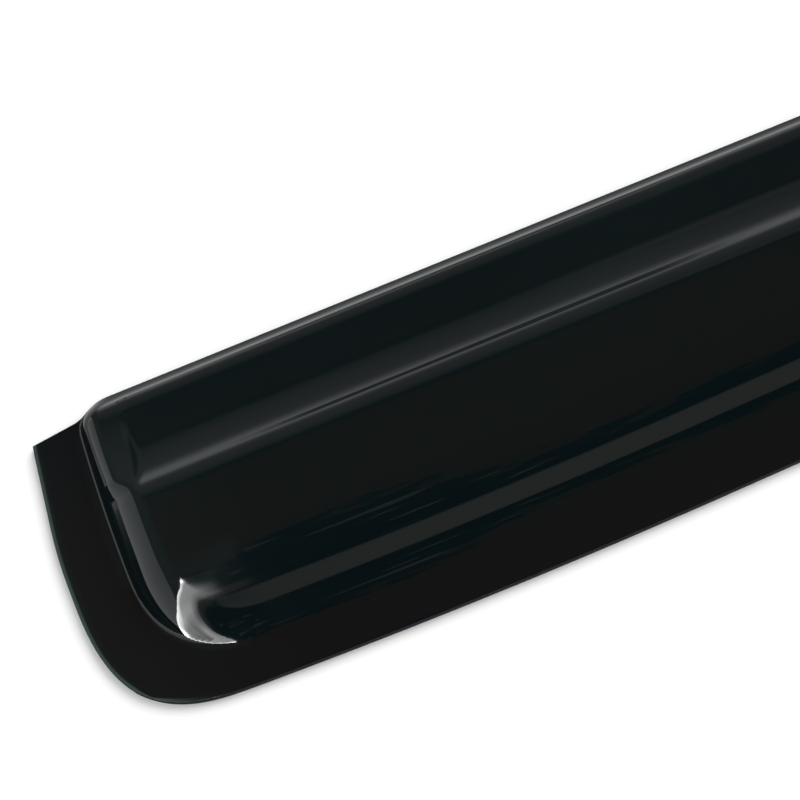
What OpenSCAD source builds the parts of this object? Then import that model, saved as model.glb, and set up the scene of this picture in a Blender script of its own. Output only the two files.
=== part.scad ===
// Window rain deflector for a car door, formed from one sheet of smoke acrylic.
// It lies on its back: a flat flange runs along the front edge and round both ends,
// and the hollow shell stands up from it, with a sunk strip and a turned down lip
// along its free edge.
// X runs along the length, Y across it towards the free edge, Z out of the flange.

/* [Overall] */
// Length from end to end
length = 600; // [440:10:900]
// Width from the front edge to the outermost point of the lip
width = 108.3; // [104:0.1:130]
// Thickness of the sheet
sheet_t = 3; // [2:0.5:3.5]

/* [Mounting flange] */
// Width of the flange along the front edge
front_flange_w = 12.3; // [9:0.1:16]
// Width of the flange at the ends, at its widest
end_flange_w = 18.4; // [15:0.1:24]
// Reach of the rounded outer corner along the length
corner_x = 45; // [30:1:55]
// Reach of the rounded outer corner across the width
corner_y = 50; // [34:1:54]
// Fullness of the outer corner, 2 for an ellipse and more for a squarer one
corner_power = 3; // [2:0.1:4]
// How much nearer to the lip the long front edge comes at the right end
front_taper = 14.7; // [5:0.1:19]
// Distance of the bow's foremost point from the left end
bow_x = 120; // [80:5:200]
// Length of bow past that point, after which the edge runs straight
bow_run = 80; // [40:5:120]
// Lean of the ends' outer edges towards the free edge
end_lean = 7.5; // [0:0.5:14]
// Radius by which each end's outer edge turns into its lean
end_lean_r = 150; // [80:5:200]
// How far the end flanges stop short of the lip, beside the shell
end_cut_back = 4.2; // [2:0.1:6]
// Slope of the end flanges' cut edges, as their fall over their run
end_cut_slope = 0.12; // [0:0.01:0.2]
// Length along which the cut edge swings out from the end flange to the lip
end_cut_run = 13; // [9:0.5:18]

/* [Shell] */
// Height of the panel above the flange
panel_rise = 11.7; // [10.5:0.1:15]
// Steepest slope of the end walls
wall_angle = 72; // [60:1:75]
// Radius at the foot of the end walls
wall_foot_r = 1.2; // [1:0.1:4]
// Radius at the top of the end walls beside the panel
wall_top_r = 13.3; // [8:0.1:14]
// Radius at the top of the end walls beside the strip
wall_top_strip_r = 5.9; // [4:0.1:7]
// Radius by which the foot of the end walls bows in towards the free edge
wall_bow_r = 600; // [350:10:900]
// Steepest slope of the long front roll
roll_angle = 40; // [34:1:46]
// Radius at the foot of the front roll
roll_foot_r = 20; // [10:0.5:22]
// Radius at the top of the front roll
roll_top_r = 30; // [16:0.5:32]
// Reach of the shell's rounded front corners, along the length and across the width
front_corner = [40, 37];
// Fullness of the front corners
front_corner_power = 2.5; // [2:0.1:3.5]
// Reach of the shell's rounded rear corners, along the length and across the width
rear_corner = [13, 10];
// Fullness of the rear corners
rear_corner_power = 2.2; // [2:0.1:3]

/* [Step and strip] */
// Distance from the outermost point of the lip back to the top edge of the step
step_back = 40.3; // [38:0.1:44]
// Height of the strip above the flange
strip_rise = 7; // [6:0.1:8]
// Steepest slope of the step
step_angle = 28.5; // [20:0.5:32]
// Radius at the top of the step
step_top_r = 12.5; // [8:0.5:14]
// Radius at the foot of the step
step_foot_r = 26; // [14:0.5:28]
// Height above the flange, at the lip, of the border that closes each end of the strip
border_rise = 7.7; // [7.5:0.1:9]
// Steepest slope of the border as it falls from the panel to that height
border_angle = 14; // [8:0.5:18]
// Radius at the top of the border's fall
border_top_r = 30; // [26:1:40]
// Radius at the foot of the border's fall
border_foot_r = 100; // [60:5:120]
// Width of the border from the end walls' top edges to the strip's recessed ends, at the step
pocket_border = 1.8; // [1.2:0.1:10]
// Lean of the recessed ends, away from the walls, towards the lip
pocket_lean = 10; // [4:0.5:14]
// Reach of the rounded corners where those ends turn into the step
pocket_corner = 8; // [4:0.5:10]
// Fullness of those corners
pocket_power = 2.2; // [2:0.1:3]
// Steepest slope of the strip's recessed ends
pocket_end_angle = 32; // [15:1:35]
// Radius at the top of the strip's recessed ends
pocket_end_top_r = 4; // [3.6:0.1:8]
// Radius at the foot of the strip's recessed ends
pocket_end_foot_r = 3; // [2:0.5:10]

/* [Lip] */
// Radius by which the lip turns down from the strip
lip_r = 9; // [7:0.5:10]
// Slope of the lip past that bend
lip_angle = 56; // [48:1:62]
// Height of the lip's cut edge above the flange
lip_edge_rise = 1; // [0.5:0.1:3]

/* [Hidden] */
smoke = [0.07, 0.08, 0.08];
mid_x = length / 2;
// Slope of the front edge's straight part
front_slope = front_taper / (length - bow_x - bow_run / 2);
// Where the walls' foot line starts its bow and the outer edge its lean
bow_start_y = 55;
// Place along the left outline where its front part hands over to its end part, a little
// past the middle of the rounded corner
turn_share = 1.36;
turn_x = turn_share * corner_x * (1 - pow(2, -1 / corner_power));
// Step used for slopes of the surface
eps = 0.01;
// Least depth of the strip below its border
least_depth = 0.01;
// Where the wall's top radius starts its change, past the step's top edge, and how long it takes
top_change_y = 4;
top_change = 6;
// Divisions across the flange, the radii, the panel, the strip and the lip's straight part
flange_n = 3;
foot_n = 4;
top_n = 10;
corner_n = 7;
mid_n = 5;
panel_n = 4;
step_n = 11;
strip_n = 4;
bend_n = 6;
skirt_n = 2;
// Pitch of the divisions on a straight slope, and how they widen towards the middle
slope_pitch = 1;
widening = 1.3;
// Length of finer columns kept past the rounded corners
corner_margin = 1;
// Most times that a line of sight passes through the sheet's skins
skin_crossings = 6;

// Smooth ramp from 0 to 1, and a mix of two values
function ramp(u) = let (v = max(0, min(1, u))) v * v * (3 - 2 * v);
function mix(a, b, u) = a + (b - a) * u;

// A rise is a foot radius, a straight slope and a top radius that climb to a height h.
// Its steepest slope is less where the radii alone reach that height.
function rise_slope(slope, foot_r, top_r, h) =
    min(slope, acos(1 - min(h, foot_r + top_r) / (foot_r + top_r)));
// Length that the straight slope takes
function slope_run(slope, foot_r, top_r, h) =
    let (a = rise_slope(slope, foot_r, top_r, h))
    max(0, h - (foot_r + top_r) * (1 - cos(a))) / tan(a);
// Length that the whole rise takes
function rise_run(slope, foot_r, top_r, h) =
    (foot_r + top_r) * sin(rise_slope(slope, foot_r, top_r, h))
    + slope_run(slope, foot_r, top_r, h);
// Height at a distance d into the rise
function rise(d, slope, foot_r, top_r, h) =
    let (
        a = rise_slope(slope, foot_r, top_r, h),
        foot_d = foot_r * sin(a),
        end_d = rise_run(slope, foot_r, top_r, h),
        slope_d = end_d - top_r * sin(a)
    )
    d <= 0 ? 0
    : d < foot_d ? foot_r - sqrt(foot_r * foot_r - d * d)
    : d < slope_d ? foot_r * (1 - cos(a)) + (d - foot_d) * tan(a)
    : d < end_d ? h - top_r + sqrt(top_r * top_r - pow(end_d - d, 2))
    : h;

// Two rises meet round a corner by these terms: each is 1 at its own edge and 0 past its reach
function corner_term(d, reach, power) = pow(max(0, 1 - d / reach), power);
// Inset of a rounded corner's outline at a distance u along one of its two edges
function corner_inset(u, along, across, power) =
    across * (1 - pow(1 - corner_term(u, along, power), 1 / power));

// World place of a distance from the left end (side 0) or the right end (side 1)
function from_end(e, side) = side == 0 ? e : length - e;

// Front edge of the flange, and the foot of the front roll behind it
function front_y(x) =
    let (u = x - bow_x)
    front_slope * (u < bow_run ? u * u / (2 * bow_run) : u - bow_run / 2);
function foot_y(x) = front_y(x) + front_flange_w;

// Foot line of an end wall, as a distance from that end
function wall_x(y) = end_flange_w + pow(max(0, y - bow_start_y), 2) / (2 * wall_bow_r);

// Outline of the flange: its front part over x, and its end part over y
function outline_y(e, x) = front_y(x) + corner_inset(e, corner_x, corner_y, corner_power);
function lean(y) =
    let (s = max(0, y - bow_start_y), turn = end_lean_r * sin(end_lean))
    s < turn ? s * s / (2 * end_lean_r) : turn * (s - turn / 2) / end_lean_r;
function outline_x(y, side) =
    lean(y)
    + corner_inset(y - front_y(from_end(turn_x, side)), corner_y, corner_x, corner_power);

// Cut edge at the rear: along the lip, and cut back at the end flanges
function rear_y(e) =
    width - end_cut_back * (1 - ramp((e - end_flange_w) / end_cut_run))
    - end_cut_slope * max(0, end_flange_w - e);

// Runs of the rises, and reaches of the corners, which are never shorter than their rises
wall_run = rise_run(wall_angle, wall_foot_r, wall_top_r, panel_rise);
wall_strip_run = rise_run(wall_angle, wall_foot_r, wall_top_strip_r, panel_rise);
roll_run = rise_run(roll_angle, roll_foot_r, roll_top_r, panel_rise);
lip_run = rise_run(lip_angle, 0, lip_r, strip_rise);
front_reach_x = max(front_corner[0], wall_run);
front_reach_y = max(front_corner[1], roll_run);
rear_reach_x = max(rear_corner[0], wall_strip_run);
rear_reach_y = max(rear_corner[1], rise_run(lip_angle, 0, lip_r, border_rise));
// Places across the width: where the lip's slope would meet the flange's level, where the
// strip turns into the lip, and the step's top edge
rear_foot_y = width + lip_edge_rise / tan(lip_angle);
lip_y = rear_foot_y - lip_run;
step_y = width - step_back;
// Distance of the strip's recessed ends from the part's ends, at the step
pocket_inset = end_flange_w + wall_strip_run + pocket_border;

// Drop of the step, and the gentler fall of the border, at a distance past the step's top edge
function step_drop(d) = rise(d, step_angle, step_top_r, step_foot_r, panel_rise - strip_rise);
function border_fall(d) =
    rise(d, border_angle, border_top_r, border_foot_r, panel_rise - border_rise);

// Depth of the sunk strip below its border, which grows in from the strip's recessed end
function pocket_depth(e, y) =
    let (
        s = y - step_y,
        depth = max(least_depth, step_drop(s) - border_fall(s)),
        end_e = pocket_inset + s * tan(pocket_lean)
            + corner_inset(s, pocket_corner, pocket_corner, pocket_power)
    )
    s <= 0 ? 0
    : rise(e - end_e, pocket_end_angle, pocket_end_top_r, pocket_end_foot_r, depth);

// Height of the outer surface at a point of the plan
function outer_z(x, y) =
    let (
        e = min(x, length - x),
        h = panel_rise - border_fall(y - step_y) - pocket_depth(e, y),
        top_r = mix(
            wall_top_r, wall_top_strip_r, ramp((y - step_y - top_change_y) / top_change)
        ),
        front_end_y = foot_y(x) + front_reach_y,
        rear = ramp((y - front_end_y) / (rear_foot_y - rear_reach_y - front_end_y)),
        reach = mix(front_reach_x, rear_reach_x, rear),
        power = mix(front_corner_power, rear_corner_power, rear),
        wall_k = corner_term(e - wall_x(y), reach, power),
        roll_k = corner_term(y - foot_y(x), front_reach_y, power),
        lip_k = corner_term(rear_foot_y - y, rear_reach_y, power),
        k = wall_k + roll_k + lip_k,
        t = 1 - pow(k, 1 / power)
    )
    sheet_t + (
        k == 0 ? h
        : (
            wall_k * rise(t * reach, wall_angle, wall_foot_r, top_r, h)
            + roll_k * rise(t * front_reach_y, roll_angle, roll_foot_r, roll_top_r, h)
            + lip_k * rise(t * rear_reach_y, lip_angle, 0, lip_r, h)
        ) / k
    );

// Unit normal of the outer surface
function outer_n(x, y) =
    let (
        sx = (outer_z(x + eps, y) - outer_z(x - eps, y)) / (2 * eps),
        sy = (outer_z(x, y + eps) - outer_z(x, y - eps)) / (2 * eps)
    )
    [-sx, -sy, 1] / norm([sx, sy, 1]);

// Evenly spread places in a stretch, its far end left out
function spread(from, to, n) = n < 1 ? [] : [for (i = [0 : n - 1]) mix(from, to, i / n)];

// Places over a rise, at even angles round its radii, its far end left out
function rise_places(slope, foot_r, top_r, h) =
    let (
        a = rise_slope(slope, foot_r, top_r, h),
        foot_d = foot_r * sin(a),
        end_d = rise_run(slope, foot_r, top_r, h),
        slope_d = end_d - top_r * sin(a)
    )
    concat(
        [for (i = [0 : foot_n - 1]) foot_r * sin(a * i / foot_n)],
        spread(foot_d, slope_d, floor((slope_d - foot_d) / slope_pitch)),
        [for (i = [0 : top_n - 1]) end_d - top_r * sin(a * (1 - i / top_n))]
    );

// Columns: fractions across the end flange, then distances in from the wall's foot line
mid_d = mid_x - end_flange_w;
corner_end_d = corner_margin
    + max(wall_run, front_reach_x, pocket_inset + pocket_corner - end_flange_w);
col_d = concat(
    rise_places(wall_angle, wall_foot_r, wall_top_r, panel_rise),
    spread(wall_run, corner_end_d, corner_n),
    [for (i = [0 : mid_n - 1]) mix(corner_end_d, mid_d, pow(i / mid_n, widening))],
    [mid_d]
);
cols = flange_n + len(col_d);

// Rows: fractions across the front flange, the roll behind its foot line, fractions of the
// panel, fixed places over the step and strip, then fractions of the lip
row_roll = concat(
    rise_places(roll_angle, roll_foot_r, roll_top_r, panel_rise),
    [roll_run]
);
step_run = rise_run(step_angle, step_top_r, step_foot_r, panel_rise - strip_rise);
row_step = concat(
    spread(step_y, step_y + step_run, step_n),
    spread(step_y + step_run, lip_y, strip_n),
    [lip_y]
);
lip_f = concat(
    [for (i = [1 : bend_n]) lip_r * sin(lip_angle * i / bend_n) / (width - lip_y)],
    [for (i = [1 : skirt_n]) mix(lip_r * sin(lip_angle) / (width - lip_y), 1, i / skirt_n)]
);
panel_row = flange_n + len(row_roll);
step_row = panel_row + panel_n - 1;
lip_row = step_row + len(row_step);
rows = lip_row + len(lip_f);

// Place of a row at a distance e from an end
function row_y(j, e, side) =
    let (x = from_end(e, side), foot = foot_y(x))
    j < flange_n ? mix(outline_y(e, x), foot, j / flange_n)
    : j < panel_row ? foot + row_roll[j - flange_n]
    : j < step_row ? mix(foot + roll_run, step_y, (j - panel_row + 1) / panel_n)
    : j < lip_row ? row_step[j - step_row]
    : mix(lip_y, rear_y(e), lip_f[j - lip_row]);

// Point of the plan for a column counted from an end, and a row
function plan_point(i, j, side) =
    i < flange_n
    ? let (
        f = i / flange_n,
        y0 = row_y(j, turn_x, side),
        e = mix(outline_x(y0, side), wall_x(y0), f)
    )
    [from_end(e, side), row_y(j, j < flange_n ? mix(turn_x, end_flange_w, f) : e, side)]
    : let (
        d = col_d[i - flange_n],
        foot = wall_x(row_y(j, end_flange_w + d, side)),
        e = foot + d * (mid_x - foot) / mid_d
    )
    [from_end(e, side), row_y(j, e, side)];

// All plan points, column by column from the left end to the right
all_cols = 2 * cols - 1;
plan = [
    for (c = [0 : all_cols - 1], j = [0 : rows - 1])
        c < cols ? plan_point(c, j, 0) : plan_point(all_cols - 1 - c, j, 1)
];

// The sheet: its outer skin, the inner skin one thickness below it, and the cut edge
module sheet() {
    n = len(plan);
    outer = [for (p = plan) [p[0], p[1], outer_z(p[0], p[1])]];
    inner = [for (i = [0 : n - 1]) outer[i] - sheet_t * outer_n(plan[i][0], plan[i][1])];
    skin = [
        for (c = [0 : all_cols - 2], j = [0 : rows - 2])
            let (a = c * rows + j, b = a + rows)
            each c < cols - 1
                ? [[a, a + 1, b + 1], [a, b + 1, b]]
                : [[a, a + 1, b], [b, a + 1, b + 1]]
    ];
    rim = concat(
        [for (c = [0 : all_cols - 2]) c * rows],
        [for (j = [0 : rows - 2]) (all_cols - 1) * rows + j],
        [for (c = [all_cols - 1 : -1 : 1]) c * rows + rows - 1],
        [for (j = [rows - 1 : -1 : 1]) j]
    );
    edge = [
        for (k = [0 : len(rim) - 1])
            let (a = rim[k], b = rim[(k + 1) % len(rim)])
            each [[a, b, b + n], [a, b + n, a + n]]
    ];
    polyhedron(
        concat(outer, inner),
        concat(skin, [for (f = skin) [f[2] + n, f[1] + n, f[0] + n]], edge),
        convexity = skin_crossings
    );
}

module deflector() {
    color(smoke) translate([-mid_x, -width / 2, 0]) sheet();
}

deflector();
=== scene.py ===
"""Window rain deflector of glossy smoke acrylic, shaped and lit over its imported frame.

The sheet lies on its flange with the hollow shell upwards. X runs along its length, Y across
it towards the free edge with the lip, and Z out of the flange. Lengths are in metres.
"""

import math

import bpy
from bpy.props import FloatProperty, FloatVectorProperty, IntProperty, PointerProperty
from mathutils import Matrix, Vector


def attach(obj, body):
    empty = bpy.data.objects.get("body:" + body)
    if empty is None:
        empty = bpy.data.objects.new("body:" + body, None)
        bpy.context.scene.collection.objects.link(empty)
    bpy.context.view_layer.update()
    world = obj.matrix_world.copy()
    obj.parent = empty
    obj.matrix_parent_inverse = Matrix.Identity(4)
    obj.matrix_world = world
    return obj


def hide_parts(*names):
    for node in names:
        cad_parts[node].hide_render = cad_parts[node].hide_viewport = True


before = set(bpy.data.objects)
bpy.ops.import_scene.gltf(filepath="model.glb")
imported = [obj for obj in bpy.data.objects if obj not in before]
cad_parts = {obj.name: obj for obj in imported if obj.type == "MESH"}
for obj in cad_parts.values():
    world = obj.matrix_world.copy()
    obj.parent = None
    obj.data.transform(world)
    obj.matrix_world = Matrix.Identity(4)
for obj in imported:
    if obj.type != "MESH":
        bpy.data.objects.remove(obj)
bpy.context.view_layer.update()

bl_info = {
    "name": "Window rain deflector",
    "version": (1, 0, 0),
    "blender": (4, 5, 0),
    "location": "View3D > Sidebar > Deflector",
    "description": "Forms a smoke acrylic rain deflector for a car window and lights it",
    "category": "Object",
}

MM = 0.001
NODE = "deflector"

# Divisions of each stretch of the sheet, at a fineness of 1
FLANGE_N, CORNER_N, MID_N = 3, 16, 5
WALL_FOOT_N, WALL_TOP_N = 5, 9
ROLL_FOOT_N, ROLL_TOP_N = 7, 9
PANEL_N, STEP_N, STRIP_N, BEND_N, SKIRT_N = 6, 12, 4, 6, 3
# Pitch of the divisions on a straight slope, and how they widen towards the middle
SLOPE_PITCH = 1.0 * MM
WIDENING = 1.6
# Length of finer columns kept past the rounded corners
CORNER_MARGIN = 1.0 * MM
# Where the outline's front part hands over to its end part, a little past mid corner
TURN_SHARE = 1.36
# Least depth of the strip below its border
LEAST_DEPTH = 0.01 * MM
# Divisions of the cut edges' rounding, the least turn that is rounded, and the most that is smooth
EDGE_SEGMENTS = 3
EDGE_ANGLE = math.radians(60.0)
SMOOTH_ANGLE = math.radians(35.0)

# Attribute that holds each point's distance from the outline's cut edge
FROM_EDGE = "from_edge"
ACRYLIC_IOR = 1.49
# Handled patches and fine marks: repeats to a metre, detail, and the noise they start and fill at
PATCH_SCALE, PATCH_DETAIL, PATCH_LEVELS = 9.0, 3.0, (0.45, 0.7)
MARK_SCALE, MARK_DETAIL, MARK_LEVELS = 260.0, 4.0, (0.62, 0.72)
# Tint of the patches over the rest, and how much of it they take
PATCH_TINT = 1.25
PATCH_SHARE = 0.6
# Painted shade: tint of the flange over the rest, darker and less blue-green as it lies on the
# floor and takes no light from beneath, and the heights between which it gives way
FLANGE_SHADE_TINT = (1.2, 0.84, 0.92)
FLANGE_TOP = (3.1 * MM, 3.6 * MM)
# How far the painted light along the end flanges' cut edges reaches in, and where along the length
# it starts
EDGE_LIGHT_REACH = (0.7 * MM, 1.5 * MM)
EDGE_LIGHT_START = (270 * MM, 288 * MM)

WHITE = (1.0, 1.0, 1.0, 1.0)
# Ray depths between which the first reflection ends, and the light that the second one loses
SECOND_DEPTH = (2.4, 2.6)
SECOND_LOSS = 0.85
FLOOR_ROUGHNESS = 0.9
KEY_DISTANCE = 2.0
SENSOR_WIDTH = 36.0
NEAR, FAR = 0.01, 100.0


def distance(name, description, default, low, high):
    """A length, given here in millimetres and kept in metres."""
    return FloatProperty(
        name=name,
        description=description,
        default=default * MM,
        min=low * MM,
        max=high * MM,
        precision=4,
        unit="LENGTH",
        subtype="DISTANCE",
    )


def angle(name, description, default, low, high):
    """An angle, given here in degrees and kept in radians."""
    return FloatProperty(
        name=name,
        description=description,
        default=math.radians(default),
        min=math.radians(low),
        max=math.radians(high),
        unit="ROTATION",
        subtype="ANGLE",
    )


def plain(name, description, default, low, high):
    """A number without a unit."""
    return FloatProperty(
        name=name, description=description, default=default, min=low, max=high, precision=4
    )


def colour(name, description, default):
    """A colour in linear light."""
    return FloatVectorProperty(
        name=name,
        description=description,
        default=default,
        size=3,
        min=0.0,
        max=1.0,
        subtype="COLOR",
    )


class DeflectorShape(bpy.types.PropertyGroup):
    """Sizes of the formed sheet."""

    length: distance("Length", "Length from end to end", 600, 440, 900)
    width: distance("Width", "Width from the front edge to the lip", 108.3, 104, 130)
    sheet: distance("Sheet", "Thickness of the acrylic sheet", 3, 2, 3.5)
    edge_round: distance("Edge rounding", "Radius that the cut edges are eased by", 0.35, 0.1, 1)

    front_flange: distance("Front flange", "Width of the flange at the front", 12.3, 9, 16)
    end_flange: distance("End flange", "Width of the flange at the ends", 18.4, 15, 24)
    corner_x: distance("Corner length", "Reach of the outer corner along X", 45, 30, 55)
    corner_y: distance("Corner depth", "Reach of the outer corner along Y", 50, 34, 54)
    corner_power: plain("Corner fullness", "Squareness of the outer corner", 3, 2, 4)
    front_taper: distance("Front taper", "Rise of the front edge at the right end", 14.7, 5, 19)
    bow_x: distance("Bow place", "Foremost point of the bow", 120, 80, 200)
    bow_run: distance("Bow run", "Length of bow before the straight taper", 80, 40, 120)
    end_lean: angle("End lean", "Lean of the ends towards the free edge", 7.5, 0, 14)
    end_lean_r: distance("End lean radius", "Radius into that lean", 150, 80, 200)
    lean_start: distance("Lean start", "Where the ends begin to lean", 55, 50, 60)
    end_cut_back: distance("End cut back", "How far the ends stop short", 4.2, 2, 6)
    end_cut_slope: plain("End cut slope", "Fall of the ends' cut edges", 0.12, 0, 0.2)
    end_cut_run: distance("End cut run", "Length over which the cut swings out", 13, 9, 18)

    panel_rise: distance("Panel rise", "Height of the panel above the flange", 11.7, 10, 15)
    wall_angle: angle("Wall slope", "Steepest slope of the end walls", 72, 60, 75)
    wall_foot_r: distance("Wall foot", "Radius at the foot of the end walls", 1.2, 1, 4)
    wall_top_r: distance("Wall top", "Radius at the top beside the panel", 13.3, 8, 14)
    wall_strip_r: distance("Wall top at strip", "Radius at the top by the strip", 5.9, 4, 7)
    top_change_y: distance("Top change", "From the step to where the wall's top tightens", 4, 2, 6)
    top_change: distance("Top change run", "Length over which it tightens", 6, 5, 12)
    wall_bow_r: distance("Wall bow", "Radius by which the walls bow in", 600, 350, 900)
    roll_angle: angle("Roll slope", "Steepest slope of the front roll", 40, 34, 46)
    roll_foot_r: distance("Roll foot", "Radius at the foot of the roll", 20, 10, 22)
    roll_top_r: distance("Roll top", "Radius at the top of the roll", 30, 16, 32)
    front_corner_x: distance("Front corner length", "Its reach along X", 40, 30, 50)
    front_corner_y: distance("Front corner depth", "Its reach along Y", 37, 30, 45)
    front_corner_power: plain("Front corner fullness", "Its squareness", 2.5, 2, 3.5)
    rear_corner_x: distance("Rear corner length", "Its reach along X", 13, 10, 20)
    rear_corner_y: distance("Rear corner depth", "Its reach along Y", 10, 9, 16)
    rear_corner_power: plain("Rear corner fullness", "Its squareness", 2.2, 2, 3)

    step_back: distance("Step place", "From the lip back to the step", 40.3, 38, 44)
    strip_rise: distance("Strip rise", "Height of the strip above the flange", 7, 6, 8)
    step_angle: angle("Step slope", "Steepest slope of the step", 28.5, 20, 32)
    step_top_r: distance("Step top", "Radius at the top of the step", 12.5, 8, 14)
    step_foot_r: distance("Step foot", "Radius at the foot of the step", 26, 14, 28)
    border_rise: distance("Border rise", "Height at the lip of the strip's end border", 7.7, 7.5, 9)
    border_angle: angle("Border slope", "Steepest slope of the border's fall", 14, 8, 18)
    border_top_r: distance("Border top", "Radius at the top of the border's fall", 30, 26, 40)
    border_foot_r: distance("Border foot", "Radius at the foot of its fall", 100, 60, 120)
    pocket_border: distance("Pocket border", "From the wall's top to the strip", 1.8, 1.2, 10)
    pocket_lean: angle("Pocket lean", "Lean of the strip's ends towards the lip", 10, 0, 14)
    pocket_corner: distance("Pocket corner", "Reach of the strip's corners", 8, 4, 10)
    pocket_power: plain("Pocket fullness", "Squareness of those corners", 2.2, 2, 3)
    pocket_end: angle("Pocket end slope", "Slope of the strip's ends", 32, 15, 35)
    pocket_top_r: distance("Pocket top", "Radius at the top of those ends", 4, 3.6, 8)
    pocket_foot_r: distance("Pocket foot", "Radius at the foot of those ends", 3, 2, 10)

    lip_r: distance("Lip bend", "Radius by which the lip turns down", 9, 7, 10)
    lip_angle: angle("Lip slope", "Slope of the lip past its bend", 56, 48, 62)
    lip_edge_rise: distance("Lip edge", "Height of the cut edge", 1, 0.5, 3)
    fineness: IntProperty(
        name="Fineness",
        description="What the numbers of the sheet's divisions are multiplied by",
        default=2,
        min=1,
        max=3,
    )


class DeflectorFinish(bpy.types.PropertyGroup):
    """Colours and gloss of the acrylic, with the colour of its painted edge light."""

    smoke: colour("Smoke", "Colour of the acrylic", (0.0019, 0.0045, 0.0051))
    cut_tint: colour("Cut edge", "Colour of the cut edges", (0.012, 0.022, 0.026))
    cut_roughness: plain("Cut edge roughness", "Roughness of the cut edges", 0.12, 0, 0.5)
    # Painted light: a lighter blue-green glow along the end flanges' cut edges, as if light came
    # through the sheet's edge
    edge_light_tint: colour(
        "Edge glow", "Colour of the end flanges along their cut edge", (0.024, 0.038, 0.034)
    )
    roughness: plain("Roughness", "Roughness of the polished faces", 0.03, 0, 0.3)
    haze: plain("Haze", "Extra roughness of the handled patches", 0.03, 0, 0.3)
    ripple: distance("Ripple", "Depth of the forming ripple", 0.02, 0, 0.5)
    ripple_size: distance("Ripple size", "Length of one ripple", 14, 2, 100)


class DeflectorStage(bpy.types.PropertyGroup):
    """The camera, the floor and the light."""

    floor_size: distance("Floor", "Side of the floor", 30000, 5000, 60000)
    floor_colour: colour("Floor colour", "Colour of the floor", (0.735, 0.735, 0.735))
    key_power: plain("Key strength", "Strength of the key light", 2.7, 0, 20)
    key_height: angle("Key height", "Height of the key light", 35, 10, 90)
    key_turn: angle("Key turn", "Direction of the key light from +X to +Y", 32, -180, 180)
    key_spread: angle("Key spread", "Spread of the key light", 60, 0, 120)
    box_power: plain("Soft box", "Brightness of the tall soft box", 25, 0, 100)
    dome_power: plain("Dome", "Even light from all round", 1.06, 0, 10)
    camera_height: angle("Camera height", "Height of the view above the floor", 70, 5, 90)
    camera_roll: angle("Camera roll", "Turn of the picture", 22.08, -90, 90)
    camera_lens: plain("Lens", "Focal length in millimetres", 201.6, 20, 400)
    camera_distance: distance("Camera distance", "From the aim", 1400, 300, 5000)
    aim: FloatVectorProperty(
        name="Aim",
        description="Point in the middle of the picture",
        default=(-0.181, 0.01085, 0.0175),
        size=3,
        subtype="TRANSLATION",
        unit="LENGTH",
    )


def ramp(u):
    """Smooth ramp from 0 to 1."""
    u = max(0.0, min(1.0, u))
    return u * u * (3.0 - 2.0 * u)


def mix(a, b, u):
    """A number between a and b."""
    return a + (b - a) * u


def corner_term(d, reach, power):
    """1 at the edge of a rounded corner and 0 past its reach."""
    return max(0.0, 1.0 - d / reach) ** power


def corner_inset(u, along, across, power):
    """Inset of a rounded corner's outline at a distance u along one edge."""
    return across * (1.0 - (1.0 - corner_term(u, along, power)) ** (1.0 / power))


class Rise:
    """A foot radius, a straight slope and a top radius that climb to a height."""

    def __init__(self, slope, foot_r, top_r, height):
        radii = foot_r + top_r
        self.slope = min(slope, math.acos(1.0 - min(height, radii) / radii))
        straight = max(0.0, height - radii * (1.0 - math.cos(self.slope)))
        self.foot_r = foot_r
        self.top_r = top_r
        self.height = height
        self.foot_d = foot_r * math.sin(self.slope)
        self.slope_d = self.foot_d + straight / math.tan(self.slope)
        self.run = self.slope_d + top_r * math.sin(self.slope)

    def at(self, d):
        """Height at a distance d into the rise."""
        if d <= 0.0:
            return 0.0
        if d < self.foot_d:
            return self.foot_r - math.sqrt(self.foot_r**2 - d * d)
        if d < self.slope_d:
            foot = self.foot_r * (1.0 - math.cos(self.slope))
            return foot + (d - self.foot_d) * math.tan(self.slope)
        if d < self.run:
            return self.height - self.top_r + math.sqrt(self.top_r**2 - (self.run - d) ** 2)
        return self.height

    def places(self, foot_n, top_n, pitch):
        """Places over the rise, at even angles round its radii, its end left out."""
        foot = [self.foot_r * math.sin(self.slope * i / foot_n) for i in range(foot_n)]
        straight = self.slope_d - self.foot_d
        n = int(straight / pitch)
        middle = [self.foot_d + straight * i / n for i in range(n)]
        top = [
            self.run - self.top_r * math.sin(self.slope * (1.0 - i / top_n)) for i in range(top_n)
        ]
        return foot + middle + top


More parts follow.
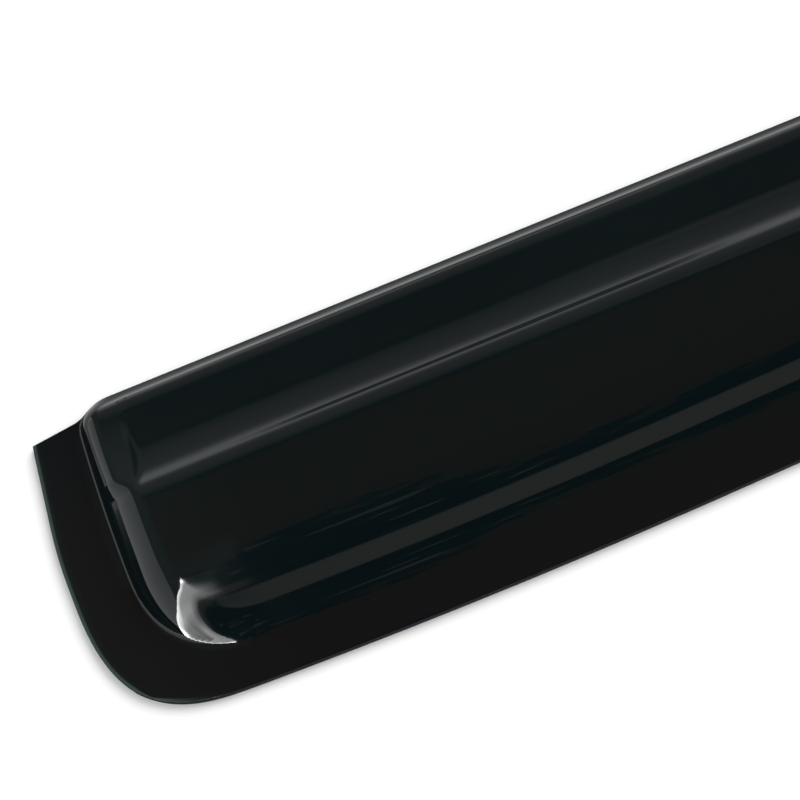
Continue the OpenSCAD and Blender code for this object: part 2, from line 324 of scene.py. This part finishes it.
class Sheet:
    """The plan and the outer surface of the formed sheet, from the user's sizes."""

    def __init__(self, s):
        self.s = s
        self.mid_x = s.length / 2.0
        self.wall = Rise(s.wall_angle, s.wall_foot_r, s.wall_top_r, s.panel_rise)
        self.roll = Rise(s.roll_angle, s.roll_foot_r, s.roll_top_r, s.panel_rise)
        self.lip = Rise(s.lip_angle, 0.0, s.lip_r, s.strip_rise)
        self.front_reach = (
            max(s.front_corner_x, self.wall.run),
            max(s.front_corner_y, self.roll.run),
        )
        self.step = Rise(s.step_angle, s.step_top_r, s.step_foot_r, s.panel_rise - s.strip_rise)
        drop = s.panel_rise - s.border_rise
        self.fall = Rise(s.border_angle, s.border_top_r, s.border_foot_r, drop)
        border_lip = Rise(s.lip_angle, 0.0, s.lip_r, s.border_rise)
        strip_wall = Rise(s.wall_angle, s.wall_foot_r, s.wall_strip_r, s.panel_rise)
        self.rear_reach = (
            max(s.rear_corner_x, strip_wall.run),
            max(s.rear_corner_y, border_lip.run),
        )
        self.pocket_inset = s.end_flange + strip_wall.run + s.pocket_border
        self.rear_foot_y = s.width + s.lip_edge_rise / math.tan(s.lip_angle)
        self.lip_y = self.rear_foot_y - self.lip.run
        self.step_y = s.width - s.step_back
        self.front_slope = s.front_taper / (s.length - s.bow_x - s.bow_run / 2.0)
        self.turn_x = TURN_SHARE * s.corner_x * (1.0 - 2.0 ** (-1.0 / s.corner_power))
        self.divide()

    def divide(self):
        """Set the places of the columns and rows."""
        s = self.s
        f = s.fineness
        pitch = SLOPE_PITCH / f
        self.flange_n = FLANGE_N * f
        self.mid_d = self.mid_x - s.end_flange
        pocket_d = self.pocket_inset + s.pocket_corner - s.end_flange
        corner_end_d = max(self.wall.run, self.front_reach[0], pocket_d) + CORNER_MARGIN
        corner_n, mid_n = CORNER_N * f, MID_N * f
        self.col_d = self.wall.places(WALL_FOOT_N * f, WALL_TOP_N * f, pitch)
        self.col_d += [mix(self.wall.run, corner_end_d, i / corner_n) for i in range(corner_n)]
        self.col_d += [
            mix(corner_end_d, self.mid_d, (i / mid_n) ** WIDENING) for i in range(mid_n)
        ]
        self.col_d += [self.mid_d]
        self.cols = self.flange_n + len(self.col_d)

        panel_n, step_n, strip_n = PANEL_N * f, STEP_N * f, STRIP_N * f
        bend_n, skirt_n = BEND_N * f, SKIRT_N * f
        step_end = self.step_y + self.step.run
        self.row_roll = self.roll.places(ROLL_FOOT_N * f, ROLL_TOP_N * f, pitch) + [self.roll.run]
        self.panel_f = [(i + 1) / panel_n for i in range(panel_n - 1)]
        self.row_step = [mix(self.step_y, step_end, i / step_n) for i in range(step_n)]
        self.row_step += [mix(step_end, self.lip_y, i / strip_n) for i in range(strip_n + 1)]
        reach = s.width - self.lip_y
        bend = s.lip_r * math.sin(s.lip_angle) / reach
        self.lip_f = [
            s.lip_r * math.sin(s.lip_angle * (i + 1) / bend_n) / reach for i in range(bend_n)
        ]
        self.lip_f += [mix(bend, 1.0, (i + 1) / skirt_n) for i in range(skirt_n)]
        self.panel_row = self.flange_n + len(self.row_roll)
        self.step_row = self.panel_row + len(self.panel_f)
        self.lip_row = self.step_row + len(self.row_step)
        self.rows = self.lip_row + len(self.lip_f)

    def front_y(self, x):
        """Front edge of the flange."""
        s = self.s
        u = x - s.bow_x
        if u < s.bow_run:
            return self.front_slope * u * u / (2.0 * s.bow_run)
        return self.front_slope * (u - s.bow_run / 2.0)

    def foot_y(self, x):
        """Foot line of the front roll."""
        return self.front_y(x) + self.s.front_flange

    def wall_x(self, y):
        """Foot line of an end wall, as a distance from that end."""
        s = self.s
        return s.end_flange + max(0.0, y - s.lean_start) ** 2 / (2.0 * s.wall_bow_r)

    def from_end(self, e, side):
        """Place along X of a distance from the left end or the right end."""
        return self.s.length - e if side else e

    def outline_y(self, e, x):
        """Front part of the outline."""
        s = self.s
        return self.front_y(x) + corner_inset(e, s.corner_x, s.corner_y, s.corner_power)

    def outline_x(self, y, side):
        """End part of the outline."""
        s = self.s
        run = max(0.0, y - s.lean_start)
        turn = s.end_lean_r * math.sin(s.end_lean)
        if run < turn:
            lean = run * run / (2.0 * s.end_lean_r)
        else:
            lean = turn * (run - turn / 2.0) / s.end_lean_r
        d = y - self.front_y(self.from_end(self.turn_x, side))
        return lean + corner_inset(d, s.corner_y, s.corner_x, s.corner_power)

    def rear_y(self, e):
        """Cut edge at the rear."""
        s = self.s
        swing = 1.0 - ramp((e - s.end_flange) / s.end_cut_run)
        return s.width - s.end_cut_back * swing - s.end_cut_slope * max(0.0, s.end_flange - e)

    def border(self, y):
        """Height of the shell above the flange before the strip is sunk into it."""
        return self.s.panel_rise - self.fall.at(y - self.step_y)

    def pocket(self, e, y):
        """Depth of the sunk strip below its border, grown in from the strip's end."""
        s = self.s
        past = y - self.step_y
        if past <= 0.0:
            return 0.0
        depth = max(LEAST_DEPTH, self.step.at(past) - self.fall.at(past))
        end_e = self.pocket_inset + past * math.tan(s.pocket_lean)
        end_e += corner_inset(past, s.pocket_corner, s.pocket_corner, s.pocket_power)
        return Rise(s.pocket_end, s.pocket_top_r, s.pocket_foot_r, depth).at(e - end_e)

    def height(self, x, y):
        """Height of the outer surface at a point of the plan."""
        s = self.s
        e = min(x, s.length - x)
        h = self.border(y) - self.pocket(e, y)
        change = ramp((y - self.step_y - s.top_change_y) / s.top_change)
        top_r = mix(s.wall_top_r, s.wall_strip_r, change)
        front_end_y = self.foot_y(x) + self.front_reach[1]
        rear_start_y = self.rear_foot_y - self.rear_reach[1]
        rear = ramp((y - front_end_y) / (rear_start_y - front_end_y))
        reach = mix(self.front_reach[0], self.rear_reach[0], rear)
        power = mix(s.front_corner_power, s.rear_corner_power, rear)
        wall_k = corner_term(e - self.wall_x(y), reach, power)
        roll_k = corner_term(y - self.foot_y(x), self.front_reach[1], power)
        lip_k = corner_term(self.rear_foot_y - y, self.rear_reach[1], power)
        k = wall_k + roll_k + lip_k
        if k == 0.0:
            return s.sheet + h
        t = 1.0 - k ** (1.0 / power)
        z = 0.0
        if wall_k:
            z += wall_k * Rise(s.wall_angle, s.wall_foot_r, top_r, h).at(t * reach)
        if roll_k:
            rise = Rise(s.roll_angle, s.roll_foot_r, s.roll_top_r, h)
            z += roll_k * rise.at(t * self.front_reach[1])
        if lip_k:
            z += lip_k * Rise(s.lip_angle, 0.0, s.lip_r, h).at(t * self.rear_reach[1])
        return s.sheet + z / k

    def row_y(self, j, e, side):
        """Place of a row at a distance e from an end."""
        x = self.from_end(e, side)
        foot = self.foot_y(x)
        if j < self.flange_n:
            return mix(self.outline_y(e, x), foot, j / self.flange_n)
        if j < self.panel_row:
            return foot + self.row_roll[j - self.flange_n]
        if j < self.step_row:
            return mix(foot + self.roll.run, self.step_y, self.panel_f[j - self.panel_row])
        if j < self.lip_row:
            return self.row_step[j - self.step_row]
        return mix(self.lip_y, self.rear_y(e), self.lip_f[j - self.lip_row])

    def plan_point(self, i, j, side):
        """Point of the plan for a column counted from an end, and a row."""
        if i < self.flange_n:
            f = i / self.flange_n
            y0 = self.row_y(j, self.turn_x, side)
            e = mix(self.outline_x(y0, side), self.wall_x(y0), f)
            at = mix(self.turn_x, self.s.end_flange, f) if j < self.flange_n else e
            return self.from_end(e, side), self.row_y(j, at, side)
        d = self.col_d[i - self.flange_n]
        foot = self.wall_x(self.row_y(j, self.s.end_flange + d, side))
        e = foot + d * (self.mid_x - foot) / self.mid_d
        return self.from_end(e, side), self.row_y(j, e, side)

    def point(self, column, row):
        """Point of the outer surface for a column and row of the whole sheet."""
        side = column >= self.cols
        i = 2 * self.cols - 2 - column if side else column
        x, y = self.plan_point(i, row, side)
        return Vector((x - self.mid_x, y - self.s.width / 2.0, self.height(x, y)))


class Number:
    """A number socket of a node tree, on which Python's arithmetic adds Math nodes."""

    def __init__(self, maker, socket):
        self.maker = maker
        self.socket = socket

    def math(self, operation, *values):
        """Add a Math node of one operation on these values."""
        settings = {"operation": operation}
        return self.maker.number("ShaderNodeMath", settings, dict(enumerate(values)))

    def __add__(self, other):
        return self.math("ADD", self, other)

    __radd__ = __add__

    def __mul__(self, other):
        return self.math("MULTIPLY", self, other)

    __rmul__ = __mul__

    def __sub__(self, other):
        return self.math("SUBTRACT", self, other)

    def __rsub__(self, other):
        return self.math("SUBTRACT", other, self)

    def __truediv__(self, other):
        return self.math("DIVIDE", self, other)

    def __rtruediv__(self, other):
        return self.math("DIVIDE", other, self)

    def __neg__(self):
        return self * -1.0


class Maker:
    """Adds nodes to one emptied node tree."""

    def __init__(self, owner):
        owner.use_nodes = True
        self.tree = owner.node_tree
        self.tree.nodes.clear()

    def node(self, kind, settings=None, inputs=None):
        """Add a node, set its settings first, then the values or links of its sockets."""
        node = self.tree.nodes.new(kind)
        for name, value in (settings or {}).items():
            if name == "stops":
                self.set_stops(node.color_ramp, value)
            else:
                setattr(node, name, value)
        for name, value in (inputs or {}).items():
            socket = value.socket if isinstance(value, Number) else value
            if isinstance(socket, bpy.types.NodeSocket):
                self.tree.links.new(socket, node.inputs[name])
            else:
                node.inputs[name].default_value = value
        return node

    def number(self, kind, settings=None, inputs=None, output=0):
        """Add a node and take one of its outputs as a number."""
        return Number(self, self.node(kind, settings, inputs).outputs[output])

    def set_stops(self, scale, stops):
        """Give a colour scale its grey stops, as places and values."""
        while len(scale.elements) > 1:
            scale.elements.remove(scale.elements[-1])
        for k, (place, value) in enumerate(stops):
            stop = scale.elements[0] if k == 0 else scale.elements.new(place)
            stop.position = place
            stop.color = (value, value, value, 1.0)

    def scale(self, value, stops):
        """Number read off a scale of stops, whose levels may be above 1."""
        top = max(level for place, level in stops)
        shares = [(place, level / top) for place, level in stops]
        return self.number("ShaderNodeValToRGB", {"stops": shares}, {"Fac": value}, "Color") * top

    def between(self, value, low, high):
        """Smooth ramp from 0 at low to 1 at high."""
        return self.number(
            "ShaderNodeMapRange",
            {"interpolation_type": "SMOOTHSTEP"},
            {"Value": value, "From Min": low, "From Max": high},
        )

    def noise(self, place, scale, detail, roughness=0.5):
        """Noise between 0 and 1."""
        inputs = {"Vector": place, "Scale": scale, "Detail": detail, "Roughness": roughness}
        return self.number("ShaderNodeTexNoise", None, inputs, "Fac")

    def blend(self, factor, a, b):
        """Colour between two colours."""
        settings = {"data_type": "RGBA"}
        inputs = {"Factor": factor, "A": a, "B": b}
        return self.node("ShaderNodeMix", settings, inputs).outputs[2]

    def parts(self, vector):
        """The three numbers of a vector."""
        split = self.node("ShaderNodeSeparateXYZ", None, {"Vector": vector})
        return [Number(self, split.outputs[axis]) for axis in "XYZ"]


def acrylic(name, finish, tint, roughness):
    """Polished smoke acrylic with the slow ripple that forming leaves, painted shade on the flange
    and painted light along the end flanges' cut edges.
    """
    material = bpy.data.materials.new(name)
    maker = Maker(material)
    place = maker.node("ShaderNodeTexCoord").outputs["Object"]
    along, _, rise = maker.parts(place)
    along = along.math("ABSOLUTE", along)
    reach = maker.number(
        "ShaderNodeAttribute",
        {"attribute_name": FROM_EDGE, "attribute_type": "GEOMETRY"},
        None,
        "Fac",
    )

    patch = maker.between(maker.noise(place, PATCH_SCALE, PATCH_DETAIL), *PATCH_LEVELS)
    mark = maker.between(maker.noise(place, MARK_SCALE, MARK_DETAIL), *MARK_LEVELS)
    shell = maker.blend(patch * PATCH_SHARE, (*tint, 1.0), (*[c * PATCH_TINT for c in tint], 1.0))
    # Painted shade: the flange, where it lies on the floor, takes a darker, less blue-green tint
    flange = (*[c * share for c, share in zip(tint, FLANGE_SHADE_TINT)], 1.0)
    shade = maker.blend(maker.between(rise, *FLANGE_TOP), flange, shell)
    # Painted light along the cut edges of both end flanges, a glow of light through the sheet's
    # edge
    edge_light = (1.0 - maker.between(reach, *EDGE_LIGHT_REACH)) * maker.between(along, *EDGE_LIGHT_START)
    shade = maker.blend(edge_light, shade, (*finish.edge_light_tint, 1.0))

    wave = maker.noise(place, 1.0 / finish.ripple_size, 1.0)
    bump = maker.node(
        "ShaderNodeBump", None, {"Height": wave, "Distance": finish.ripple, "Strength": 1.0}
    )
    haze = finish.haze * 0.5
    shader = maker.node(
        "ShaderNodeBsdfPrincipled",
        None,
        {
            "Base Color": shade,
            "Roughness": roughness + patch * haze + mark * haze,
            "IOR": ACRYLIC_IOR,
            "Normal": bump.outputs["Normal"],
        },
    )
    maker.node("ShaderNodeOutputMaterial", None, {"Surface": shader.outputs["BSDF"]})
    return material


def apply_modifier(piece, kind, **settings):
    """Add a modifier to a piece and apply it."""
    modifier = piece.modifiers.new(kind.title(), kind)
    for name, value in settings.items():
        setattr(modifier, name, value)
    bpy.ops.object.modifier_apply(modifier=modifier.name)


class DEFLECTOR_OT_sheet(bpy.types.Operator):
    """Form the deflector from one sheet of smoke acrylic."""

    bl_idname = "deflector.sheet"
    bl_label = "Form the sheet"

    def execute(self, context):
        shape = context.scene.deflector_shape
        finish = context.scene.deflector_finish
        sheet = Sheet(shape)
        columns = 2 * sheet.cols - 1
        rows = sheet.rows
        bpy.ops.object.select_all(action="DESELECT")
        bpy.ops.mesh.primitive_grid_add(
            x_subdivisions=columns - 1, y_subdivisions=rows - 1, size=1.0
        )
        piece = context.object
        piece.name = "smoke_sheet"
        piece.data.name = "smoke_sheet"
        if len(piece.data.vertices) != columns * rows:
            raise RuntimeError("the sheet's grid hasn't the rows and columns that it needs")

        reach = piece.data.attributes.new(FROM_EDGE, "FLOAT", "POINT")
        ends = [(sheet.point(0, row), sheet.point(columns - 1, row)) for row in range(rows)]
        front = [sheet.point(column, 0) for column in range(columns)]
        for vertex in piece.data.vertices:
            column = round((vertex.co.x + 0.5) * (columns - 1))
            row = round((vertex.co.y + 0.5) * (rows - 1))
            place = sheet.point(column, row)
            edges = (*ends[row], front[column])
            vertex.co = place
            reach.data[vertex.index].value = min((place - edge).length for edge in edges)

        face = acrylic("smoke_acrylic_face", finish, finish.smoke, finish.roughness)
        edge = acrylic("smoke_acrylic_cut_edge", finish, finish.cut_tint, finish.cut_roughness)
        piece.data.materials.append(face)
        piece.data.materials.append(edge)
        apply_modifier(piece, "SOLIDIFY", thickness=shape.sheet, offset=-1.0, material_offset_rim=1)
        apply_modifier(
            piece,
            "BEVEL",
            width=shape.edge_round,
            segments=EDGE_SEGMENTS,
            limit_method="ANGLE",
            angle_limit=EDGE_ANGLE,
        )
        bpy.ops.object.shade_smooth_by_angle(angle=SMOOTH_ANGLE)
        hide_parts(NODE)
        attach(piece, "root")
        return {"FINISHED"}


class Cards:
    """Pale cards and dark gaps round the part, placed by direction, as its gloss sees them.

    The turn is a direction's angle from overhead towards the lip, in radians, and the side is its
    lean towards the left end.
    """

    # Light by the turn in degrees, which the roll, the panel, the step and the lip pick out
    TURN_LIGHT = (
        (-180, 0.06), (-110, 0.08), (-80, 0.4), (-62, 0.38), (-48.5, 0.36), (-47, 0.0),
        (0, 0.0), (22, 0.0), (27, 0.15), (40, 0.26), (52, 0.3), (60, 0.38), (65, 0.7),
        (72, 1.3), (79, 1.5), (81, 2.3), (84, 3.1), (89, 2.9), (96, 1.5), (104, 0.75),
        (112, 0.42), (122, 0.25), (132, 0.12), (180, 0.12),
    )
    # Dark gap that draws the thin line along the step: its turns, and how it widens at the right
    GAP_START = (math.radians(72.3), math.radians(73.0))
    GAP_END = (math.radians(77.5), math.radians(78.5))
    GAP_DEPTH = 0.85
    GAP_WIDENING = math.radians(0.9)
    # Faint light, at the right, where the sheet starts down the step
    STEP_TOP_LIGHT = 0.1

    # Faint veil over the panel, its loss past the flat parts, the turn of its shore, how that
    # moves towards the right and the left, and how far its streaks reach
    VEIL_LIGHT = 0.1
    VEIL_LEFT_LIGHT = 0.05
    VEIL_STEP_LOSS = 0.8
    SHORE = 0.017
    SHORE_RIGHT = 0.54
    SHORE_LEFT = 0.157
    STREAK_REACH = 1.1
    STREAK_PITCH = (60.0, 7.0, 0.0)
    # Glints in the dark zone before the shore
    GLINT_PITCH = (26.0, 11.0, 4.0)
    GLINT_LIGHT = 0.22

    # Card past the left end, which lights the end wall and the pocket: overhead, far out, behind
    # the part and near the floor, and what the light loses past the right end
    LEFT_LIGHT = 0.17
    LEFT_TOP_LIGHT = 1.43
    LEFT_TOP_FALL = 0.96
    BEHIND_LIGHT = 0.2
    LOW_LIGHT = 0.02
    LOW_REAR_LIGHT = 0.6
    RIGHT_LOSS = 0.85

    # Tall soft box at the front left corner: its rim by the side, and its fade past that rim
    BOX_RIM = (
        (0.07, 0.0), (0.09, 0.04), (0.135, 0.195), (0.24, 0.364), (0.377, 0.456),
        (0.468, 0.519), (0.58, 0.554), (1.0, 0.56),
    )
    BOX_FADE = (
        (0.0, 0.0), (0.006, 1.0), (0.04, 0.56), (0.08, 0.24), (0.28, 0.2), (0.4, 0.09),
        (0.5, 0.04), (0.7, 0.032), (1.0, 0.024),
    )
    # Gain at its head, loss deep down, share that spills at its toe, and gain near the floor
    HEAD_GAIN = 2.0
    DEEP_LOSS = 0.7
    TOE_SHARE = 0.2
    FLOOR_GAIN = 2.0

    # Warmer colour of the veil and of dim light
    WARM = (1.0, 0.42, 0.1, 1.0)
    WARM_SHARE = 0.18

    def __init__(self, maker):
        self.maker = maker
        direction = maker.node("ShaderNodeTexCoord").outputs["Generated"]
        self.x, self.y, self.z = maker.parts(direction)
        self.turn = self.y.math("ARCTAN2", self.y, self.z)
        self.side = -self.x

    def from_to(self, value, start, full, fade, end):
        """1 from full to fade, with smooth ramps from 0 at start and to 0 at end."""
        rise = self.maker.between(value, start, full)
        return rise * (1.0 - self.maker.between(value, fade, end))

    def pattern(self, pitch, detail, roughness):
        """Noise over the lean along the part and the turn."""
        along, across, level = pitch
        place = self.maker.node(
            "ShaderNodeCombineXYZ",
            None,
            {"X": self.x * along, "Y": self.turn * across, "Z": level},
        )
        return self.maker.noise(place.outputs[0], 1.0, detail, roughness)

    def lengthwise(self):
        """Cards and gaps that run along the whole part."""
        between = self.maker.between
        stops = [((degrees + 180.0) / 360.0, light) for degrees, light in self.TURN_LIGHT]
        light = self.maker.scale(self.turn / (2.0 * math.pi) + 0.5, stops)
        widening = between(self.x, 0.0, 0.04) * self.GAP_WIDENING
        gap = between(self.turn + widening, *self.GAP_START)
        gap = gap * (1.0 - between(self.turn, *self.GAP_END))
        gap = gap * self.from_to(self.x, -0.045, -0.015, 0.06, 0.09)
        step_top = self.from_to(self.turn, 0.368, 0.41, 0.47, 0.6) * between(self.x, 0.02, 0.08)
        return light * (1.0 - gap * self.GAP_DEPTH) + step_top * self.STEP_TOP_LIGHT

    def veil(self):
        """Where the veil over the panel lies, from its streaked shore to the step."""
        between = self.maker.between
        streaks = self.pattern(self.STREAK_PITCH, 3.0, 0.6)
        shore = self.SHORE - between(self.x, -0.02, 0.035) * self.SHORE_RIGHT
        shore = shore - between(self.side, 0.05, 0.11) * self.SHORE_LEFT
        shore = shore + (streaks - 0.5) * self.STREAK_REACH
        veil = between(self.turn - shore, 0.0, 0.03)
        veil = veil * (1.0 - between(self.turn, 0.345, 0.385) * self.VEIL_STEP_LOSS)
        return veil * (1.0 - between(self.turn, 0.385, 0.47))

    def veil_light(self, veil):
        """Light of the veil, and of the glints in the dark zone before it."""
        between = self.maker.between
        glints = between(self.pattern(self.GLINT_PITCH, 1.0, 0.5), 0.64, 0.7)
        glints = glints * self.from_to(-self.turn, -0.05, 0.05, 0.72, 0.8)
        near_left = self.from_to(self.side, 0.03, 0.09, 0.1, 0.16)
        light = veil * (self.VEIL_LIGHT + near_left * self.VEIL_LEFT_LIGHT)
        return light + glints * (1.0 - veil) * self.GLINT_LIGHT

    def with_ends(self, light):
        """Light with the card past the left end, and dimmed past the right end."""
        between = self.maker.between
        far_left = between(self.side, 0.44, 0.47)
        left = self.LEFT_LIGHT + far_left * (self.LEFT_TOP_LIGHT - self.z * self.LEFT_TOP_FALL)
        behind = between(self.y, 0.3, 0.42) * (1.0 - far_left)
        left = left * (1.0 - behind) + self.BEHIND_LIGHT * behind
        low = self.LOW_LIGHT + between(self.y, 0.32, 0.42) * self.LOW_REAR_LIGHT
        over = between(self.z, 0.06, 0.11)
        left = left * over + low * (1.0 - over)
        to_left = between(self.side, 0.03, 0.2)
        light = light * (1.0 - to_left) + left * to_left
        return light * (1.0 - between(self.x, 0.55, 0.8) * self.RIGHT_LOSS)

    def tall_box(self):
        """Soft box whose reflection is the bright patch on the front left corner."""
        between = self.maker.between
        front = -self.y
        box = self.maker.scale(front - self.maker.scale(self.side, self.BOX_RIM), self.BOX_FADE)
        head = 1.0 - between(front, 0.22, 0.3)
        deep = 1.0 - between(front, 0.62, 0.67) * self.DEEP_LOSS
        toe = self.from_to(front, 0.55, 0.62, 0.68, 0.72) * between(self.side, 0.06, 0.1)
        box = box * between(self.z, -0.1, -0.05) * (1.0 + head * self.HEAD_GAIN)
        box = box * (between(self.side, 0.115, 0.15) * deep + toe * self.TOE_SHARE)
        return box * (self.FLOOR_GAIN - between(self.z, 0.1, 0.2) * (self.FLOOR_GAIN - 1.0))

    def tone(self, light, veil):
        """Colour of the light, warmer in the veil and where it is dim."""
        between = self.maker.between
        dim = (1.0 - between(light, 0.35, 0.9)) * (1.0 - between(self.turn, 1.4, 1.7))
        warm = veil * (1.0 - between(self.side, 0.03, 0.12)) + dim * self.WARM_SHARE
        return self.maker.blend(warm, WHITE, self.WARM)


def world_light(stage):
    """An even dome, with the cards in its place for glossy rays and white behind the part."""
    world = bpy.data.worlds.new("studio")
    maker = Maker(world)
    cards = Cards(maker)
    rays = maker.node("ShaderNodeLightPath")
    veil = cards.veil()
    light = cards.with_ends(cards.lengthwise() + cards.veil_light(veil))
    light = light + cards.tall_box() * stage.box_power
    second = maker.between(rays.outputs["Ray Depth"], *SECOND_DEPTH)
    light = light * (1.0 - second * SECOND_LOSS)
    seen = maker.node(
        "ShaderNodeBackground", None, {"Color": cards.tone(light, veil), "Strength": light}
    )

    camera = Number(maker, rays.outputs["Is Camera Ray"])
    dome = camera * (1.0 - stage.dome_power) + stage.dome_power
    soft = maker.node("ShaderNodeBackground", None, {"Color": WHITE, "Strength": dome})
    both = maker.node(
        "ShaderNodeMixShader",
        None,
        {0: rays.outputs["Is Glossy Ray"], 1: soft.outputs[0], 2: seen.outputs[0]},
    )
    maker.node("ShaderNodeOutputWorld", None, {"Surface": both.outputs[0]})
    return world


class DEFLECTOR_OT_stage(bpy.types.Operator):
    """Set up the floor, the light and the camera."""

    bl_idname = "deflector.stage"
    bl_label = "Set the stage"

    def execute(self, context):
        scene = context.scene
        stage = scene.deflector_stage
        scene.view_settings.view_transform = "Standard"
        scene.world = world_light(stage)
        self.add_floor(context, stage)
        self.add_key(context, stage)
        self.add_camera(context, stage)
        return {"FINISHED"}

    def add_floor(self, context, stage):
        """A plain matt floor, which the gloss doesn't see."""
        bpy.ops.object.select_all(action="DESELECT")
        bpy.ops.mesh.primitive_plane_add(size=stage.floor_size)
        floor = context.object
        floor.name = "floor"
        material = bpy.data.materials.new("pale_floor")
        maker = Maker(material)
        shader = maker.node(
            "ShaderNodeBsdfPrincipled",
            None,
            {
                "Base Color": (*stage.floor_colour, 1.0),
                "Roughness": FLOOR_ROUGHNESS,
                "Specular IOR Level": 0.0,
            },
        )
        maker.node("ShaderNodeOutputMaterial", None, {"Surface": shader.outputs["BSDF"]})
        floor.data.materials.append(material)
        floor.visible_glossy = False

    def add_key(self, context, stage):
        """A wide, soft key light, for the shadow on the floor."""
        towards = Vector(
            (
                math.cos(stage.key_height) * math.cos(stage.key_turn),
                math.cos(stage.key_height) * math.sin(stage.key_turn),
                math.sin(stage.key_height),
            )
        )
        bpy.ops.object.light_add(type="SUN", location=towards * KEY_DISTANCE)
        key = context.object
        key.name = "key"
        key.rotation_euler = towards.to_track_quat("Z", "Y").to_euler()
        key.data.energy = stage.key_power
        key.data.angle = stage.key_spread
        key.visible_glossy = False

    def add_camera(self, context, stage):
        """The camera, which looks towards the lip from the photograph's height and roll."""
        back = Vector((0.0, -math.cos(stage.camera_height), math.sin(stage.camera_height)))
        level = Vector((1.0, 0.0, 0.0))
        upright = back.cross(level)
        right = level * math.cos(stage.camera_roll) - upright * math.sin(stage.camera_roll)
        up = level * math.sin(stage.camera_roll) + upright * math.cos(stage.camera_roll)
        bpy.ops.object.camera_add()
        camera = context.object
        camera.name = "camera"
        turn = Matrix((right, up, back)).transposed().to_4x4()
        place = Matrix.Translation(Vector(stage.aim) + back * stage.camera_distance)
        camera.matrix_world = place @ turn
        camera.data.lens = stage.camera_lens
        camera.data.sensor_width = SENSOR_WIDTH
        camera.data.clip_start = NEAR
        camera.data.clip_end = FAR
        context.scene.camera = camera


class DEFLECTOR_PT_panel(bpy.types.Panel):
    """The deflector's operators and sizes."""

    bl_idname = "DEFLECTOR_PT_panel"
    bl_label = "Deflector"
    bl_space_type = "VIEW_3D"
    bl_region_type = "UI"
    bl_category = "Deflector"

    def draw(self, context):
        for operator, group in (
            ("deflector.sheet", context.scene.deflector_shape),
            ("deflector.stage", context.scene.deflector_stage),
        ):
            self.layout.operator(operator)
            for name in group.__annotations__:
                self.layout.prop(group, name)
        self.layout.label(text="Finish")
        for name in context.scene.deflector_finish.__annotations__:
            self.layout.prop(context.scene.deflector_finish, name)


CLASSES = (
    DeflectorShape,
    DeflectorFinish,
    DeflectorStage,
    DEFLECTOR_OT_sheet,
    DEFLECTOR_OT_stage,
    DEFLECTOR_PT_panel,
)
GROUPS = {
    "deflector_shape": DeflectorShape,
    "deflector_finish": DeflectorFinish,
    "deflector_stage": DeflectorStage,
}


def register():
    """Register the classes and give the scene its groups."""
    for cls in CLASSES:
        bpy.utils.register_class(cls)
    for name, cls in GROUPS.items():
        setattr(bpy.types.Scene, name, PointerProperty(type=cls))


def unregister():
    """Take the groups and the classes out again."""
    for name in GROUPS:
        delattr(bpy.types.Scene, name)
    for cls in reversed(CLASSES):
        bpy.utils.unregister_class(cls)


def main():
    """Make the part and its stage."""
    register()
    bpy.ops.deflector.sheet()
    bpy.ops.deflector.stage()


if __name__ == "__main__":
    main()
